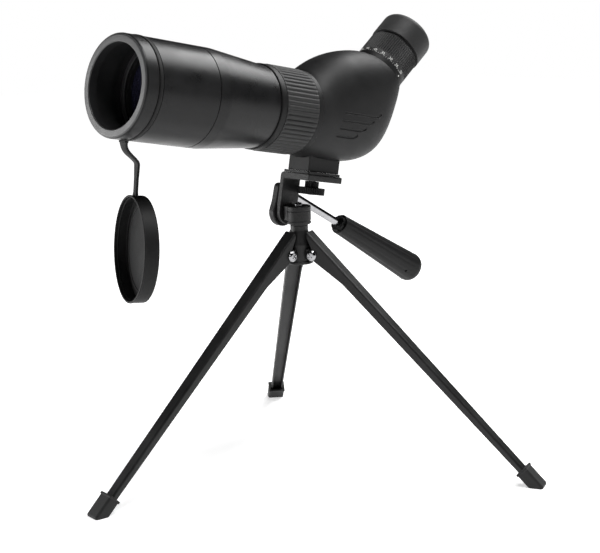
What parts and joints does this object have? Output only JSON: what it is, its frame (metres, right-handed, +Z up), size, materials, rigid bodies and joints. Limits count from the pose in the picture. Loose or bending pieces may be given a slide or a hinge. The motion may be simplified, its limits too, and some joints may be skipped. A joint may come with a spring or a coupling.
{
  "type": "spotting scope",
  "caption": "Angled zoom spotting scope with sliding sunshade, tethered lens cap and a folding three-leg table tripod with pan and tilt head.",
  "frame": {"origin": "on the ground, under the middle of the object's bounding box", "axes": "+Z up, -Y the way the scope looks, +X to the left of a user who looks through it"},
  "size_m": [0.357, 0.3643, 0.3643],
  "materials": {
    "tube_black": "satin black anodised",
    "bezel_grey": "satin grey",
    "housing_black": "fine matte moulded",
    "coated_glass": "multi-coated",
    "prism_glass": "polished",
    "rubber": "matte",
    "zinc": "cast",
    "brass": "machined",
    "nylon": "plain",
    "enamel": "semi-gloss black",
    "chrome": "bright plated"
  },
  "bodies": {
    "base": {"hub": "enamel", "pan_screw": "chrome", "pan_washer": "nylon", "pivot_screw_front": "chrome", "pivot_screw_left": "chrome", "pivot_screw_right": "chrome", "pivot_nut_front": "chrome", "pivot_nut_left": "chrome", "pivot_nut_right": "chrome"},
    "front_leg": {"leg_front": "enamel", "foot_cap_front": "rubber"},
    "left_leg": {"leg_left": "enamel", "foot_cap_left": "rubber"},
    "right_leg": {"leg_right": "enamel", "foot_cap_right": "rubber"},
    "pan_head": {"pan_block": "enamel"},
    "scope": {"tilt_bracket": "enamel", "tilt_arm": "enamel", "arm_rivet_front": "chrome", "arm_rivet_rear": "chrome", "tilt_bolt": "chrome", "platform_pad": "rubber", "tripod_foot": "housing_black", "thread_insert": "brass", "prism_housing": "housing_black", "prism_cage": "zinc", "roof_prism": "prism_glass", "main_tube": "tube_black", "baffle_ring": "tube_black", "objective_cell": "tube_black", "crown_lens": "coated_glass", "flint_lens": "coated_glass", "objective_retainer": "tube_black", "eyepiece_barrel": "housing_black", "zoom_scale_ring": "housing_black", "field_lens": "coated_glass", "eye_lens_cell": "housing_black", "eye_lens": "coated_glass", "eyecup": "rubber"},
    "camera_screw": {"camera_screw": "chrome", "camera_screw_knob": "housing_black"},
    "handle": {"handle_rod": "chrome", "handle_grip": "housing_black"},
    "focus_wheel": {"focus_ring": "housing_black", "focus_grip": "rubber"},
    "focus_carriage": {"focus_lens_cell": "housing_black", "focusing_lens": "coated_glass", "focus_lens_retainer": "housing_black", "focus_drive_pin": "chrome"},
    "zoom_wheel": {"zoom_ring": "rubber"},
    "zoom_carriage": {"zoom_lens_cell": "housing_black", "zoom_lens": "coated_glass"},
    "hood": {"sunshade": "tube_black", "bezel_ring": "bezel_grey"},
    "strap_loop": {"strap_ring": "rubber"},
    "cap": {"cap_strap": "rubber", "lens_cap": "rubber"}
  },
  "joints": [
    {"name": "front_leg_fold", "type": "hinge", "parent": "base", "child": "front_leg", "pos_m": [-0.00966, 0.00795, 0.176], "axis": [0.996, -0.0889, 0], "range_deg": [0, 43]},
    {"name": "left_leg_fold", "type": "hinge", "parent": "base", "child": "left_leg", "pos_m": [0.00329, 0.02637, 0.176], "axis": [-0.421, 0.907, 0], "range_deg": [0, 43]},
    {"name": "right_leg_fold", "type": "hinge", "parent": "base", "child": "right_leg", "pos_m": [-0.01914, 0.02838, 0.176], "axis": [-0.575, -0.8181, 0], "range_deg": [0, 43]},
    {"name": "pan", "type": "hinge", "parent": "base", "child": "pan_head", "pos_m": [-0.0085, 0.0209, 0.2004], "axis": [0, 0, 1], "continuous": true},
    {"name": "tilt", "type": "hinge", "parent": "pan_head", "child": "scope", "pos_m": [-0.0085, 0.0209, 0.2085], "axis": [1, 0, 0], "range_deg": [-35, 29]},
    {"name": "camera_screw_turn", "type": "hinge", "parent": "scope", "child": "camera_screw", "pos_m": [-0.0085, 0.03645, 0.2334], "axis": [0, 0.1805, 0.9836], "continuous": true},
    {"name": "handle_lock", "type": "hinge", "parent": "scope", "child": "handle", "pos_m": [-0.0289, 0.03544, 0.21905], "axis": [0, 0.866, -0.5], "range_deg": [-270, 30]},
    {"name": "focus", "type": "hinge", "parent": "scope", "child": "focus_wheel", "pos_m": [-0.0085, 0.02088, 0.28984], "axis": [0, -0.9836, 0.1805], "range_deg": [-150, 150]},
    {"name": "focus_travel", "type": "slide", "parent": "scope", "child": "focus_carriage", "axis": [0, -0.9836, 0.1805], "range_m": [-0.00499, 0.00499]},
    {"name": "zoom", "type": "hinge", "parent": "scope", "child": "zoom_wheel", "pos_m": [-0.0085, 0.06809, 0.28117], "axis": [0, 0.7815, 0.6239], "range_deg": [0, 160]},
    {"name": "zoom_travel", "type": "slide", "parent": "scope", "child": "zoom_carriage", "axis": [0, 0.7815, 0.6239], "range_m": [0, 0.01199]},
    {"name": "sunshade_slide", "type": "slide", "parent": "scope", "child": "hood", "axis": [0, -0.9836, 0.1805], "range_m": [0, 0.028]},
    {"name": "strap_ring_turn", "type": "hinge", "parent": "hood", "child": "strap_loop", "pos_m": [-0.0085, -0.14239, 0.31981], "axis": [0, -0.9836, 0.1805], "continuous": true},
    {"name": "cap_swing", "type": "hinge", "parent": "strap_loop", "child": "cap", "pos_m": [-0.0085, -0.13819, 0.26515], "axis": [0.9397, -0.342, 0], "range_deg": [-70, 50]}
  ],
  "couplings": [
    {"joint": "focus", "follows": "focus_travel", "rad_per_m": 523.6},
    {"joint": "zoom", "follows": "zoom_travel", "rad_per_m": 232.71}
  ]
}
